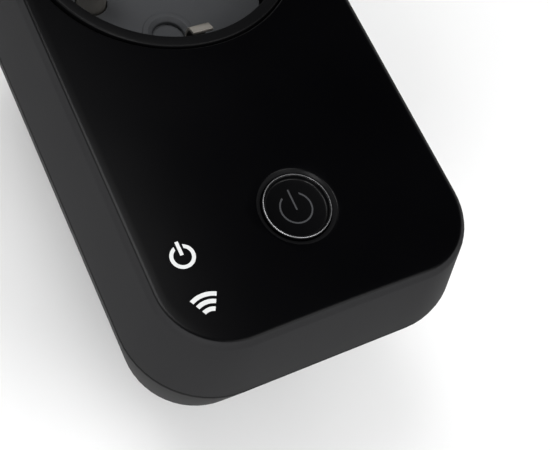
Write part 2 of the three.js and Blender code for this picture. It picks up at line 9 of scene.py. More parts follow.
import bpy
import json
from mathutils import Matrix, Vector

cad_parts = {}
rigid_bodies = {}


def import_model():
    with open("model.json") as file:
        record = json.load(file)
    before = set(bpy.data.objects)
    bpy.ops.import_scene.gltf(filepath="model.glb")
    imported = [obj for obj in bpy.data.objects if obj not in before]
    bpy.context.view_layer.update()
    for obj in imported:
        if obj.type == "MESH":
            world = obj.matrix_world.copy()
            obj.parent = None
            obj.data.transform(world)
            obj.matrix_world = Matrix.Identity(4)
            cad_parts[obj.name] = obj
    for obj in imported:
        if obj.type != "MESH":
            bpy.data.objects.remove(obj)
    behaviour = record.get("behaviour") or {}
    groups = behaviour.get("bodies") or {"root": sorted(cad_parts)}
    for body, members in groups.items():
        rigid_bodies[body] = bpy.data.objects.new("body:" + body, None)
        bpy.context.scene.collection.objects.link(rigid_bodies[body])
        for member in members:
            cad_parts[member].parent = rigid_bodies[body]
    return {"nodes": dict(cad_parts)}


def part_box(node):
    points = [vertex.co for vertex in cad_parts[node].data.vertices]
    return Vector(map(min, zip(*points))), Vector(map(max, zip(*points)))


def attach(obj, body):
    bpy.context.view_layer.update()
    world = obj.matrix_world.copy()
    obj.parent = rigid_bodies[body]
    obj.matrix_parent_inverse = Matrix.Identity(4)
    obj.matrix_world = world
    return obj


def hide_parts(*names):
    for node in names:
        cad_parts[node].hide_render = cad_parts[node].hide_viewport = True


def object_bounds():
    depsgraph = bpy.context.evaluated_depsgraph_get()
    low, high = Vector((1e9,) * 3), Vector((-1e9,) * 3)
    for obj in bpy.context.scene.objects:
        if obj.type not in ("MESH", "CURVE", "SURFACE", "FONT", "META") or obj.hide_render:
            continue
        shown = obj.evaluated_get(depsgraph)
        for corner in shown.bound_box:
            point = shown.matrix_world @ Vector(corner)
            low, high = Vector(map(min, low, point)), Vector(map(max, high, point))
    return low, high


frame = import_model()
cad_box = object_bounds()
print("pieces in the frame:", len(frame["nodes"]))

# %% [markdown]
# ## Working values
#
# Blender works in metres and a plug is drawn in millimetres, so one constant turns one into the
# other. The housing's outline is a core rectangle grown by a radius: every ring of the
# housing, inside and out, is that same rectangle grown by more or less.

# %% Sizes
import json
import math

import bmesh
import bpy
from mathutils import Matrix, Vector

MM = 0.001
CORE_X = 14 * MM
CORE_LOW = -56.05 * MM
CORE_HIGH = 16 * MM
FACE_RADIUS = 11 * MM
SEAM_RADIUS = 13.9 * MM
BACK_RADIUS = 11.1 * MM
CROWN_DROP = 0.8 * MM
WALL = 2 * MM
GAP = 0.3 * MM  # between two pieces that must not touch
FLANGE_LOW = 41.1 * MM  # the collar's flange under the face
FLANGE_TOP = 42 * MM

face_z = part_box("socket_collar")[1].z
seam_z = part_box("front_shell")[0].z + 1 * MM
cover_top = seam_z - GAP
back_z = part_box("back_cover")[0].z
button_low, button_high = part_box("button_cap")
button_y = (button_low.y + button_high.y) / 2
crown_radius = (CORE_X + FACE_RADIUS) ** 2 / (2 * CROWN_DROP)
print("face at", round(face_z / MM, 2), "mm, button at y", round(button_y / MM, 2), "mm")


def crown(x):
    """How far the crowned face has fallen below its centre line at x."""
    return x * x / (2 * crown_radius)


# %% [markdown]
# ## Small helpers for meshes
#
# A bmesh is a mesh being edited. These helpers start one, finish one as an object that rides on
# a body of the frame, and join or cut two finished shapes. The shading is smooth apart from
# edges sharper than an angle, as moulded parts are.

# %% Finish a mesh as an object
SHARP = math.radians(28)


def finish_mesh(bm, name):
    """Turns a bmesh into an object with smooth shading and faces that point out."""
    bmesh.ops.remove_doubles(bm, verts=bm.verts, dist=0.0005 * MM)
    bmesh.ops.recalc_face_normals(bm, faces=bm.faces)
    mesh = bpy.data.meshes.new(name)
    bm.to_mesh(mesh)
    bm.free()
    piece = bpy.data.objects.new(name, mesh)
    bpy.context.scene.collection.objects.link(piece)
    smooth(piece)
    return piece


def smooth(piece):
    piece.data.shade_smooth()
    piece.data.set_sharp_from_angle(angle=SHARP)


def combine(piece, other, operation):
    """Joins or cuts piece with other, which is used up."""
    modifier = piece.modifiers.new("combine", "BOOLEAN")
    modifier.object = other
    modifier.operation = operation
    modifier.solver = "EXACT"
    apply_modifiers(piece)
    bpy.data.objects.remove(other)
    smooth(piece)


def cut(piece, tool):
    combine(piece, tool, "DIFFERENCE")


def apply_modifiers(piece):
    """Gives piece the mesh that its modifiers make, and takes them off."""
    bpy.context.view_layer.update()
    evaluated = piece.evaluated_get(bpy.context.evaluated_depsgraph_get())
    mesh = bpy.data.meshes.new_from_object(evaluated)
    piece.modifiers.clear()
    piece.data = mesh


def place(piece, body, slot, *nodes):
    """The piece rides on a body and stands for the frame's own nodes. The slot argument is not used.
    """
    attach(piece, body)
    if nodes:
        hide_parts(*nodes)
    print(piece.name, "has", len(piece.data.polygons), "faces")


# %% [markdown]
# ## Profiles with rounded corners
#
# Turned and lofted parts are drawn as a profile. Real corners are never sharp: a mould or a
# lathe leaves a small radius. This helper rounds each corner of a profile by its own radius,
# with an arc that leaves both sides smoothly.

# %% Round a profile's corners
def rounded(corners, steps=5):
    """Points of a profile. A corner is (across, height) or (across, height, fillet radius)."""
    points = []
    for index, corner in enumerate(corners):
        here = Vector(corner[:2])
        radius = corner[2] if len(corner) > 2 else 0
        if radius == 0 or index in (0, len(corners) - 1):
            points.append(here)
            continue
        before = (Vector(corners[index - 1][:2]) - here).normalized()
        after = (Vector(corners[index + 1][:2]) - here).normalized()
        half_angle = before.angle(after) / 2
        reach = radius / math.tan(half_angle)
        centre = here + (before + after).normalized() * (radius / math.sin(half_angle))
        start = here + before * reach - centre
        end = here + after * reach - centre
        turn = start.angle_signed(end)
        for step in range(steps + 1):
            points.append(centre + Matrix.Rotation(-turn * step / steps, 2) @ start)
    return points


def turned(name, corners, x=0.0, y=0.0, segments=96, steps=5):
    """Spins a profile of (radius, height, fillet) corners about an upright line at x, y."""
    bm = bmesh.new()
    points = rounded(corners, steps)
    verts = [bm.verts.new((x + point.x, y, point.y)) for point in points]
    edges = [bm.edges.new(pair) for pair in zip(verts, verts[1:])]
    bmesh.ops.spin(
        bm, geom=verts + edges, cent=(x, y, 0), axis=(0, 0, 1), dvec=(0, 0, 0),
        angle=2 * math.pi, steps=segments, use_merge=True,
    )
    return finish_mesh(bm, name)


# %% [markdown]
# ## The housing's outline
#
# One ring of the housing is a circle of points, spread over four corner arcs and four straight
# sides. Extruding the ring and growing it again gives the next ring, so a whole shell is a list
# of rings, each a radius and a height. At radius nothing the ring has become the core
# rectangle, which a grid fills. The crown is a height that falls away from the centre line.

# %% Rings around the core rectangle
CORNER_STEPS = 14
ACROSS = 14
ALONG = 32


def outline():
    """The anchor on the core rectangle and the outward direction of each point of a ring."""
    places = []
    corners = [
        (CORE_X, CORE_LOW, -90), (CORE_X, CORE_HIGH, 0),
        (-CORE_X, CORE_HIGH, 90), (-CORE_X, CORE_LOW, 180),
    ]
    for index, (x, y, start) in enumerate(corners):
        for step in range(CORNER_STEPS + 1):
            angle = math.radians(start + 90 * step / CORNER_STEPS)
            places.append((Vector((x, y)), Vector((math.cos(angle), math.sin(angle)))))
        following = Vector(corners[(index + 1) % 4][:2])
        side_steps = ALONG if index % 2 == 0 else ACROSS
        for step in range(1, side_steps):
            places.append((Vector((x, y)).lerp(following, step / side_steps), places[-1][1]))
    return places


def set_ring(verts, places, radius, height, crowned):
    for vert, (anchor, direction) in zip(verts, places):
        at = anchor + direction * radius
        vert.co = (at.x, at.y, height - crowned * crown(at.x))


def fill_core(bm, verts, height, crowned):
    """Closes a ring of radius nothing with a grid over the core rectangle."""
    ring_edges = {edge for vert in verts for edge in vert.link_edges if edge.is_boundary}
    bmesh.ops.remove_doubles(bm, verts=verts, dist=0.001 * MM)
    sides = [
        edge for edge in ring_edges
        if edge.is_valid and abs(abs(edge.verts[0].co.x) - CORE_X) < 0.01 * MM
        and abs(abs(edge.verts[1].co.x) - CORE_X) < 0.01 * MM
    ]
    filled = bmesh.ops.grid_fill(bm, edges=sides, use_interp_simple=True)["faces"]
    for vert in {vert for face in filled for vert in face.verts}:
        vert.co.z = height - crowned * crown(vert.co.x)


def housing_loft(name, rings):
    """A closed shell from rings of (radius, height, crowned), closed over the core at both ends."""
    bm = bmesh.new()
    places = outline()
    made = bmesh.ops.create_circle(bm, segments=len(places), radius=1)["verts"]
    ring_edges = list(bm.edges)
    set_ring(made, places, *rings[0])
    first = made
    for ring in rings[1:]:
        grown = bmesh.ops.extrude_edge_only(bm, edges=ring_edges)["geom"]
        ring_edges = [item for item in grown if isinstance(item, bmesh.types.BMEdge)
                      and item.is_boundary]
        pairs = {}
        for vert in grown:
            if isinstance(vert, bmesh.types.BMVert):
                source = next(e.other_vert(vert) for e in vert.link_edges if not e.is_boundary)
                pairs[source] = vert
        made = [pairs[vert] for vert in made]
        set_ring(made, places, *ring)
    for verts, ring in ((first, rings[0]), (made, rings[-1])):
        fill_core(bm, verts, ring[1], ring[2])
    return finish_mesh(bm, name)


# %% [markdown]
# ## Front shell
#
# On the real plug this is one moulding of ABS: a face that is slightly crowned across its
# width, a small fillet all round, and sides that flare out to the seam. It
# could be a cube with a bevel, but the flare makes the corner radius grow towards the seam, and
# rings around one core rectangle do just that. The socket opening, the button's well and the
# screw holes are cut afterwards with turned cutters, sheared to follow the crown.

# %% Front shell body
FACE_FILLET = 1.4 * MM
SEAM_EDGE = 0.3 * MM


def with_crown(points, low, high):
    """Rings from profile points. The crown fades from full at high to nothing at low."""
    rings = []
    for point in points:
        down = min(max((high - point.y) / (high - low), 0), 1)
        rings.append((point.x, point.y, 1 - down * down))
    return rings


outer = rounded([
    (8.8 * MM, face_z), (FACE_RADIUS, face_z, FACE_FILLET), (SEAM_RADIUS, seam_z, SEAM_EDGE),
    (SEAM_RADIUS - WALL, seam_z),
], steps=8)
inner_top = face_z - 2.2 * MM
inner = rounded([
    (SEAM_RADIUS - WALL, seam_z), (FACE_RADIUS - WALL, inner_top, 1 * MM), (7 * MM, inner_top),
], steps=4)
spread = [Vector((share * FACE_RADIUS, face_z)) for share in (0, 0.2, 0.4, 0.6)]
front_rings = with_crown(spread + outer, seam_z, face_z)
front_rings += with_crown(inner[1:] + [Vector((0, inner_top))], seam_z, inner_top)
front_shell = housing_loft("front_shell_moulding", front_rings)
print("front shell body:", len(front_shell.data.vertices), "points")


# %% Cutters for the face
COLLAR_RADIUS = 21.6 * MM
OPENING_RADIUS = COLLAR_RADIUS + GAP
WELL_RADIUS = 5.35 * MM
SURROUND_RADIUS = 6.0 * MM
CUTTER_OUT = 9 * MM  # the well's cutter spreads this wide above the face
OPENING_EDGE = 1.2 * MM


def follow_crown(piece):
    """Shears a piece so that its level lines follow the crowned face."""
    for vert in piece.data.vertices:
        vert.co.z -= crown(vert.co.x)
    return piece


opening_cutter = turned("opening_cutter", [
    (0, face_z - 20 * MM), (OPENING_RADIUS, face_z - 20 * MM),
    (OPENING_RADIUS, face_z - 0.2 * MM, 0.5 * MM),
    (OPENING_RADIUS + OPENING_EDGE, face_z + OPENING_EDGE / 2),
    (24 * MM, face_z + 3 * MM), (0, face_z + 3 * MM),
], segments=160)
well_cutter = turned("well_cutter", [
    (0, face_z - 6 * MM), (WELL_RADIUS, face_z - 6 * MM),
    (WELL_RADIUS, face_z - 0.55 * MM, 0.1 * MM),
    (SURROUND_RADIUS, face_z - 0.04 * MM, 0.3 * MM), (CUTTER_OUT, face_z + 0.5 * MM),
    (CUTTER_OUT, face_z + 2 * MM), (0, face_z + 2 * MM),
], y=button_y, segments=112)
for cutter in (opening_cutter, well_cutter):
    cut(front_shell, follow_crown(cutter))

# %% Screw posts inside the front shell
SCREW_HOLE = 1.6 * MM
POST_RADIUS = 3.1 * MM
screw_nodes = sorted(name for name in frame["nodes"] if name.startswith("housing_screw"))
screw_places = []
for name in screw_nodes:
    low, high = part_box(name)
    screw_places.append(((low.x + high.x) / 2, (low.y + high.y) / 2))
post_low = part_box("front_shell")[0].z
for x, y in screw_places:
    post = turned("post", [
        (0, post_low), (POST_RADIUS, post_low, 0.3 * MM), (POST_RADIUS, inner_top + 0.8 * MM),
        (0, inner_top + 0.8 * MM),
    ], x, y, segments=32)
    combine(front_shell, post, "UNION")
    hole = turned("hole", [
        (0, post_low - MM), (SCREW_HOLE, post_low - MM), (SCREW_HOLE, post_low + 8.5 * MM),
        (0, post_low + 8.5 * MM),
    ], x, y, segments=24)
    cut(front_shell, hole)
place(front_shell, "housing", "front_shell", "front_shell")

# %% [markdown]
# ## Back cover
#
# The back cover is the other half of the box: a tray that narrows towards the wall, with a lip
# that slips inside the front shell. The lip is just more rings of the same loft. The sleeves for
# the screws are joined on, and the boss's opening and the shallow plate recess are cut.

# %% Back cover
LIP_OUTER = SEAM_RADIUS - WALL - GAP
LIP_INNER = LIP_OUTER - 1 * MM
SLEEVE_RADIUS = 3.4 * MM
HEAD_WELL_RADIUS = 2.8 * MM
BOSS_HOLE_RADIUS = 18.5 * MM
floor_inside = back_z + WALL
head_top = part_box(screw_nodes[0])[0].z + 2.3 * MM
cover_profile = rounded([
    (8 * MM, back_z), (BACK_RADIUS, back_z, 1.6 * MM), (SEAM_RADIUS, cover_top, SEAM_EDGE),
    (LIP_OUTER, cover_top, 0.1 * MM), (LIP_OUTER - 0.3 * MM, cover_top + 1.5 * MM, 0.2 * MM),
    (LIP_INNER, cover_top + 1.5 * MM, 0.2 * MM), (LIP_INNER - 0.3 * MM, cover_top - 2 * MM),
    (BACK_RADIUS - WALL, floor_inside, 1 * MM), (0, floor_inside),
], steps=6)
cover_points = [Vector((share * BACK_RADIUS, back_z)) for share in (0, 0.25, 0.5)]
cover_rings = [(point.x, point.y, 0) for point in cover_points + cover_profile]
back_cover = housing_loft("back_cover_moulding", cover_rings)

boss_hole = turned("boss_hole", [
    (0, back_z - MM), (19.2 * MM, back_z - MM),
    (BOSS_HOLE_RADIUS, back_z + 0.1 * MM, 0.3 * MM),
    (BOSS_HOLE_RADIUS, back_z + 6 * MM), (0, back_z + 6 * MM),
], segments=128)
cut(back_cover, boss_hole)
sleeve_top = post_low - GAP
for x, y in screw_places:
    sleeve = turned("sleeve", [
        (0, back_z + 0.5 * MM), (SLEEVE_RADIUS, back_z + 0.5 * MM),
        (SLEEVE_RADIUS, sleeve_top, 0.3 * MM),
        (0, sleeve_top),
    ], x, y, segments=32)
    combine(back_cover, sleeve, "UNION")
    well = turned("well", [
        (0, back_z - MM), (3.1 * MM, back_z - MM),
        (HEAD_WELL_RADIUS, back_z + 0.05 * MM, 0.2 * MM), (HEAD_WELL_RADIUS, head_top),
        (SCREW_HOLE, head_top), (SCREW_HOLE, sleeve_top + MM),
        (0, sleeve_top + MM),
    ], x, y, segments=32)
    cut(back_cover, well)


# %% A rounded block, for recesses, plates and boxy parts
def rounded_block(name, low, high, edge, corner=0.0):
    """A block between two corners, with rounded upright corners and a rounded edge all round."""
    bm = bmesh.new()
    bmesh.ops.create_cube(bm, size=1)
    size = Vector(high) - Vector(low)
    bmesh.ops.scale(bm, vec=size, verts=bm.verts)
    bmesh.ops.translate(bm, vec=(Vector(low) + Vector(high)) / 2, verts=bm.verts)
    if corner:
        upright = [e for e in bm.edges if abs(e.verts[0].co.z - e.verts[1].co.z) > size.z / 2]
        bmesh.ops.bevel(
            bm, geom=upright, offset=corner, offset_type="OFFSET", segments=8, profile=0.5,
            affect="EDGES", material=-1,
        )
    if edge:
        sharp = [e for e in bm.edges if e.calc_face_angle(0) > math.radians(50)]
        bmesh.ops.bevel(
            bm, geom=sharp, offset=edge, offset_type="OFFSET", segments=3, profile=0.5,
            affect="EDGES", material=-1,
        )
    return finish_mesh(bm, name)


plate_low, plate_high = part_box("rating_plate")
margin = Vector((GAP, GAP, 0))
recess = rounded_block(
    "plate_recess", plate_low - margin - Vector((0, 0, 2 * MM)),
    plate_high + margin + Vector((0, 0, 0.2 * MM)), 0, 1.8 * MM,
)
cut(back_cover, recess)
place(back_cover, "housing", "back_cover", "back_cover")
plate = rounded_block("rating_plate_blank", plate_low, plate_high, 0.08 * MM, 1.5 * MM)
place(plate, "housing", "rating_plate", "rating_plate")

# %% [markdown]
# ## Socket collar and socket floor
#
# The socket is two mouldings. The collar is the round wall with the dark rim that shows in the
# face, and a ledge inside. The floor is a lighter disc that stands on the ledge. Both are turned
# from a profile. The floor has a low ring around each pin hole, the earth pin's hole, and a
# notch beside the wall for each earth tongue. It is thin over the pocket where the shutter turns.

# %% Socket collar
RECESS_RADIUS = 19.75 * MM
LEDGE_RADIUS = 17.9 * MM
COLLAR_FLANGE = 22.9 * MM
SOCKET_DEPTH = 15 * MM
ledge_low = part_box("socket_collar")[0].z
ledge_top = ledge_low + 0.9 * MM
floor_top = face_z - SOCKET_DEPTH


def cut_tongue_slots(piece, low, high):
    """Cuts the openings beside the wall that the two earth tongues stand in."""
    for node in ("earth_tongue_lower", "earth_tongue_upper"):
        tongue_low, tongue_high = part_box(node)
        outward = math.copysign(1, tongue_low.y)
        ends = sorted((outward * 17.2 * MM, outward * 19.5 * MM))
        slot_cutter = rounded_block(
            "slot_cutter", (tongue_low.x - GAP, ends[0], low),
            (tongue_high.x + GAP, ends[1], high), 0, 0.4 * MM,
        )
        cut(piece, slot_cutter)


collar = turned("socket_collar_moulding", [
    (19 * MM, ledge_low), (COLLAR_RADIUS, ledge_low, 0.3 * MM), (COLLAR_RADIUS, FLANGE_LOW),
    (COLLAR_FLANGE, FLANGE_LOW, 0.2 * MM), (COLLAR_FLANGE, FLANGE_TOP, 0.2 * MM),
    (COLLAR_RADIUS, FLANGE_TOP),
    (COLLAR_RADIUS, face_z, 0.35 * MM), (RECESS_RADIUS, face_z, 0.25 * MM),
    (RECESS_RADIUS, ledge_top, 0.2 * MM), (LEDGE_RADIUS, ledge_top, 0.15 * MM),
    (LEDGE_RADIUS, ledge_low, 0.15 * MM), (19 * MM, ledge_low),
], segments=160, steps=6)
cut_tongue_slots(collar, ledge_low - MM, ledge_top + 0.1 * MM)
place(collar, "housing", "socket_collar", "socket_collar")

# %% Socket floor
PIN_SPREAD = 9.5 * MM
EARTH_X = -10 * MM
HOLE_RADIUS = 2.75 * MM
MOUTH_RADIUS = 3.5 * MM
RING_RADIUS = 4.4 * MM
DISC_RADIUS = 19.45 * MM
POCKET_RADIUS = 13.2 * MM
PIVOT_RADIUS = 1.5 * MM
floor_node_low, floor_node_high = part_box("socket_floor")
pivot_low, ring_top = floor_node_low.z, floor_node_high.z
disc_low = ledge_top + GAP
web_low = floor_top - 0.9 * MM
socket_floor = turned("socket_floor_moulding", [
    (0, pivot_low), (PIVOT_RADIUS, pivot_low, 0.3 * MM), (PIVOT_RADIUS, web_low, 0.2 * MM),
    (POCKET_RADIUS, web_low, 0.3 * MM), (POCKET_RADIUS, disc_low, 0.2 * MM),
    (DISC_RADIUS, disc_low, 0.3 * MM), (DISC_RADIUS, floor_top, 0.3 * MM), (0, floor_top),
], segments=160, steps=6)
for side in (-1, 1):
    ring = turned("hole_ring", [
        (0, floor_top - 0.3 * MM), (RING_RADIUS, floor_top - 0.3 * MM),
        (RING_RADIUS, ring_top, 0.12 * MM), (0, ring_top),
    ], 0, side * PIN_SPREAD, segments=72)
    combine(socket_floor, ring, "UNION")
    hole = turned("pin_hole", [
        (0, web_low - MM), (HOLE_RADIUS, web_low - MM), (HOLE_RADIUS, ring_top - 0.6 * MM, 0.4 * MM),
        (MOUTH_RADIUS, ring_top - 0.02 * MM, 0.15 * MM), (5 * MM, ring_top + 0.3 * MM),
        (0, ring_top + 0.3 * MM),
    ], 0, side * PIN_SPREAD, segments=72)
    cut(socket_floor, hole)
earth_hole = turned("earth_hole", [
    (0, web_low - MM), (2.6 * MM, web_low - MM), (2.6 * MM, floor_top - 0.04 * MM, 0.25 * MM),
    (4 * MM, floor_top + 0.5 * MM), (0, floor_top + 0.5 * MM),
], EARTH_X, 0, segments=48)
cut(socket_floor, earth_hole)
cut_tongue_slots(socket_floor, disc_low - MM, floor_top + MM)
place(socket_floor, "housing", "socket_floor", "socket_floor")

# %% [markdown]
# ## Earth pin and plug pins
#
# Pins are turned brass with nickel on top. The nose is a true dome on the earth pin and a
# rounded end on the plug pins, so a finger feels no edge.

# %% Pins
PIN_RADIUS = 2.4 * MM
PIN_COLLAR = 3.6 * MM
PIN_TAIL = 1.8 * MM
pin_low, pin_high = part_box("earth_pin")
earth_pin = turned("earth_pin_turned", [
    (0, pin_low.z), (PIN_RADIUS, pin_low.z, 0.2 * MM),
    (PIN_RADIUS, pin_high.z, 2.35 * MM), (0, pin_high.z),
], EARTH_X, 0, segments=72, steps=16)
place(earth_pin, "housing", "pin_nickel", "earth_pin")
for node in ("plug_pin_lower", "plug_pin_upper"):
    low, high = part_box(node)
    pin = turned(node + "_turned", [
        (0, low.z), (PIN_RADIUS, low.z, 1.3 * MM), (PIN_RADIUS, high.z - 4.2 * MM),
        (PIN_COLLAR, high.z - 4.2 * MM, 0.2 * MM), (PIN_COLLAR, high.z - 2.7 * MM, 0.2 * MM),
        (PIN_TAIL, high.z - 2.7 * MM), (PIN_TAIL, high.z, 0.3 * MM), (0, high.z),
    ], 0, (low.y + high.y) / 2, segments=64, steps=10)
    place(pin, "housing", "pin_nickel", node)

# %% [markdown]
# ## Springy strips
#
# The earth tongues and the plug's side clips are stamped from sheet and bent. A bent strip is a
# line in side view, drawn with rounded bends, extruded to its width and given its thickness by
# a Solidify modifier. A small bevel stands for the edges that tumbling leaves.


# %% Bent strips
def bent_strip(name, corners, width, thickness, turn):
    """A strip whose side view is a rounded line of (outward, height) corners, turned about Z."""
    bm = bmesh.new()
    points = rounded(corners, 8)
    verts = [bm.verts.new((point.x, -width / 2, point.y)) for point in points]
    edges = [bm.edges.new(pair) for pair in zip(verts, verts[1:])]
    grown = bmesh.ops.extrude_edge_only(bm, edges=edges)["geom"]
    moved = [item for item in grown if isinstance(item, bmesh.types.BMVert)]
    bmesh.ops.translate(bm, vec=(0, width, 0), verts=moved)
    bmesh.ops.rotate(bm, matrix=Matrix.Rotation(turn, 3, "Z"), verts=bm.verts)
    piece = finish_mesh(bm, name)
    thick = piece.modifiers.new("thickness", "SOLIDIFY")
    thick.thickness = thickness
    thick.offset = 0
    edge = piece.modifiers.new("edge", "BEVEL")
    edge.width = thickness * 0.16
    edge.segments = 2
    edge.limit_method = "ANGLE"
    apply_modifiers(piece)
    smooth(piece)
    return piece


SHEET = 0.5 * MM
TONGUE_FOOT = 18.7 * MM
CLIP_FOOT = 17.15 * MM
for node, side, body in (
    ("earth_tongue_lower", -1, "lower_tongue"), ("earth_tongue_upper", 1, "upper_tongue"),
):
    low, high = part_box(node)
    tongue = bent_strip(node + "_bent", [
        (TONGUE_FOOT, low.z), (TONGUE_FOOT, floor_top + 0.5 * MM, 1.5 * MM),
        (16.75 * MM, floor_top + 7 * MM, 4 * MM), (16.2 * MM, floor_top + 10.8 * MM, 2 * MM),
        (16.6 * MM, floor_top + 12.1 * MM, 0.5 * MM), (18.2 * MM, floor_top + 12.9 * MM),
    ], high.x - low.x, SHEET, side * math.pi / 2)
    place(tongue, body, "pin_nickel", node)

for node, turn in (("plug_earth_clip_left", math.pi), ("plug_earth_clip_right", 0)):
    low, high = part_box(node)
    clip = bent_strip(node + "_bent", [
        (CLIP_FOOT, low.z + 0.1 * MM), (CLIP_FOOT + 0.2 * MM, 3 * MM, 3 * MM),
        (CLIP_FOOT + 0.75 * MM, 8 * MM, 12 * MM), (CLIP_FOOT + 0.1 * MM, 15 * MM, 3 * MM),
        (CLIP_FOOT + 0.1 * MM, high.z),
    ], high.y - low.y, SHEET, turn)
    place(clip, "housing", "pin_nickel", node)

# %% [markdown]
# ## Button
#
# The button cap is a shallow dish with a raised lip. A thin ring of dark chrome foil is
# pressed round the top of the lip, and it catches the light as one fine line. Below the face the
# cap spreads into a flange that keeps it in, and a stem that pushes the switch. The power symbol
# is a fine printed line that lies in the dish, so it follows the dish's height.

# %% Button cap
button_top = button_high.z
LIP_RADIUS = 5.1 * MM
FLOOR_EDGE = 4.6 * MM
SUNK = 0.7 * MM
DISH = 0.15 * MM
LIP_INNER_RADIUS = 4.78 * MM
STEM_RADIUS = 1.6 * MM
CAP_FLANGE = 6.3 * MM
FOIL = 0.03 * MM
FOIL_INNER = 4.95 * MM
FOIL_HEIGHT = 0.3 * MM
cap_flange_low = 41.2 * MM
lip_top = button_top - 0.04 * MM
cap_profile = [
    (0, button_low.z), (STEM_RADIUS, button_low.z, 0.2 * MM), (STEM_RADIUS, cap_flange_low),
    (CAP_FLANGE, cap_flange_low, 0.2 * MM), (CAP_FLANGE, FLANGE_TOP, 0.2 * MM),
    (LIP_RADIUS, FLANGE_TOP), (LIP_RADIUS, lip_top, 0.15 * MM),
    (LIP_INNER_RADIUS, lip_top, 0.1 * MM),
    (FLOOR_EDGE, button_top - SUNK, 0.25 * MM),
]


def dish_height(x, y):
    """Height of the cap's sunk face, from its centre out to the foot of its lip."""
    reach = min(math.hypot(x, y - button_y) / FLOOR_EDGE, 1)
    return button_top - SUNK - DISH + DISH * reach * reach


DISH_STEPS = 10
for step in range(DISH_STEPS - 1, -1, -1):
    across = FLOOR_EDGE * step / DISH_STEPS
    cap_profile.append((across, dish_height(across, button_y)))
button = turned("button_cap_gloss", cap_profile, 0, button_y, segments=128, steps=6)
place(button, "button", "button", "button_cap")
edge_ring = turned("button_edge_ring", [
    (FOIL_INNER, button_top - FOIL_HEIGHT), (LIP_RADIUS + FOIL, button_top - FOIL_HEIGHT),
    (LIP_RADIUS + FOIL, button_top, 0.15 * MM), (FOIL_INNER, button_top, 0.05 * MM),
    (FOIL_INNER, button_top - FOIL_HEIGHT),
], 0, button_y, segments=128, steps=6)
place(edge_ring, "button", "button")


# %% [markdown]
# ## Printed marks
#
# A mark is a strip bent into an arc or a straight bar. It starts as a grid, each point is moved
# to its place on the arc, laid on the surface below, and a Solidify modifier gives it the
# thickness of the ink or of the window it stands for. A slot through a ring, with sides
# parallel to its bar, is an arc whose ends depend on the radius.

# %% Arcs and bars
INK = 0.03 * MM


def face_height(x, y):
    return face_z - crown(x)


def arc_strip(bm, centre, inner_radius, outer_radius, ends, steps=64):
    """A strip around centre. ends gives the angle from +Y of the strip's end at a radius."""
    made = bmesh.ops.create_grid(bm, x_segments=steps, y_segments=3, size=0.5)["verts"]
    for vert in made:
        radius = inner_radius + (vert.co.y + 0.5) * (outer_radius - inner_radius)
        first, last = ends(radius)
        angle = first + (vert.co.x + 0.5) * (last - first)
        vert.co = (
            centre[0] + radius * math.sin(angle), centre[1] + radius * math.cos(angle), 0,
        )


def bar_strip(bm, centre, width, start, end):
    made = bmesh.ops.create_grid(bm, x_segments=3, y_segments=8, size=0.5)["verts"]
    for vert in made:
        along = start + (vert.co.y + 0.5) * (end - start)
        vert.co = (centre[0] + vert.co.x * width, centre[1] + along, 0)


def lay_mark(bm, name, height):
    """Lays a flat mark on a surface and gives it the thickness of its ink."""
    for vert in bm.verts:
        vert.co.z = height(vert.co.x, vert.co.y) - 0.2 * INK
    piece = finish_mesh(bm, name)
    if piece.data.polygons[0].normal.z < 0:
        piece.data.flip_normals()
    thick = piece.modifiers.new("ink", "SOLIDIFY")
    thick.thickness = INK
    thick.offset = 1
    apply_modifiers(piece)
    smooth(piece)
    return piece


def power_symbol(bm, centre, middle_radius, stroke, bar_width, bar_ends, slot_half):
    """A ring open at the top around an upright bar."""
    def ends(radius):
        gap = math.asin(slot_half / radius)
        return gap, 2 * math.pi - gap

    arc_strip(bm, centre, middle_radius - stroke / 2, middle_radius + stroke / 2, ends)
    bar_strip(bm, centre, bar_width, *bar_ends)


# %% The marks
bm = bmesh.new()
power_symbol(bm, (0, button_y), 2.4 * MM, 0.25 * MM, 0.25 * MM, (-0.3 * MM, 3 * MM), 1.35 * MM)
button_mark = lay_mark(bm, "button_symbol", dish_height)
place(button_mark, "button", "button")

guide_low, guide_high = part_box("power_light_guide")
power_centre = (
    (guide_low.x + guide_high.x) / 2, (guide_low.y + guide_high.y) / 2 + 0.15 * MM,
)
bm = bmesh.new()
power_symbol(
    bm, power_centre, 1.55 * MM, 0.54 * MM, 0.5 * MM, (0.2 * MM, 2.3 * MM), 0.62 * MM,
)
power_window = lay_mark(bm, "power_window", face_height)
place(power_window, "housing", "light_guide")

FAN = math.radians(27.5)  # half the opening of the waves
WAVE = 0.63 * MM
wifi_centre = (-18.3 * MM, button_y - 11.7 * MM)
bm = bmesh.new()
for inner_radius in (1.5, 2.6, 3.67):
    arc_strip(
        bm, wifi_centre, inner_radius * MM, inner_radius * MM + WAVE,
        lambda radius: (-FAN, FAN), 24,
    )
wifi_window = lay_mark(bm, "wifi_window", face_height)
place(wifi_window, "housing", "light_guide")

# %% [markdown]
# ## Plug boss
#
# The boss is the round plug body that enters the wall outlet. It is turned, then notched on
# both sides for the earth clips and bored for the pins.

# %% Plug boss
BOSS_RADIUS = 18.2 * MM
BOSS_FLANGE = 21 * MM
BOSS_BORE = 15.4 * MM
BOSS_END = 3 * MM
NOTCH_X = 16.6 * MM
NOTCH_HALF = 3.5 * MM
PIN_BORE = 2.6 * MM
SLEEVE_BORE = 3.7 * MM
boss_flange_low = 19.3 * MM
boss_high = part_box("plug_boss")[1].z


def bore_boss(radius, x, y):
    """Bores a hole with a flared mouth through the end of the boss."""
    hole = turned("hole", [
        (0, -MM), (radius + 0.7 * MM, -MM), (radius, 0.05 * MM, 0.2 * MM), (radius, 6 * MM),
        (0, 6 * MM),
    ], x, y, segments=48)
    cut(boss, hole)


